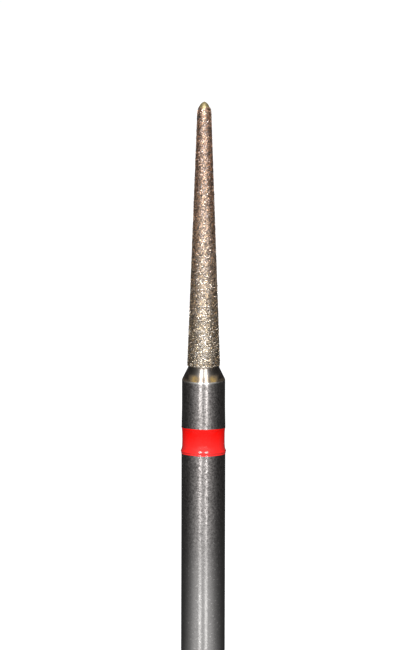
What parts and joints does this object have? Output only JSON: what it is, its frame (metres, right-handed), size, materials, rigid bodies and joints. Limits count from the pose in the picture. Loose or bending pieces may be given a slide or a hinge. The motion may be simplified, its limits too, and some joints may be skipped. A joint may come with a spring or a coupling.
{
  "type": "dental bur",
  "caption": "Friction-grip dental bur: plain steel shank with a red ring, a short cone neck and a long tapered head with a fine diamond coat and a bare pointed tip.",
  "frame": {"origin": "centre of the flat end of the shank", "axes": "+Z along the bur's axis, from the shank's flat end up to the tip of the head; X and Y are any two directions across it"},
  "size_m": [0.0016, 0.0016, 0.022],
  "materials": {
    "steel": "satin, with a fine tumbled grain",
    "diamond_grit": "rough nickel bond with fine diamond grains",
    "red_enamel": "gloss"
  },
  "bodies": {
    "root": {"steel_blank": "steel", "diamond_coat": "diamond_grit", "colour_ring": "red_enamel"}
  },
  "joints": []
}
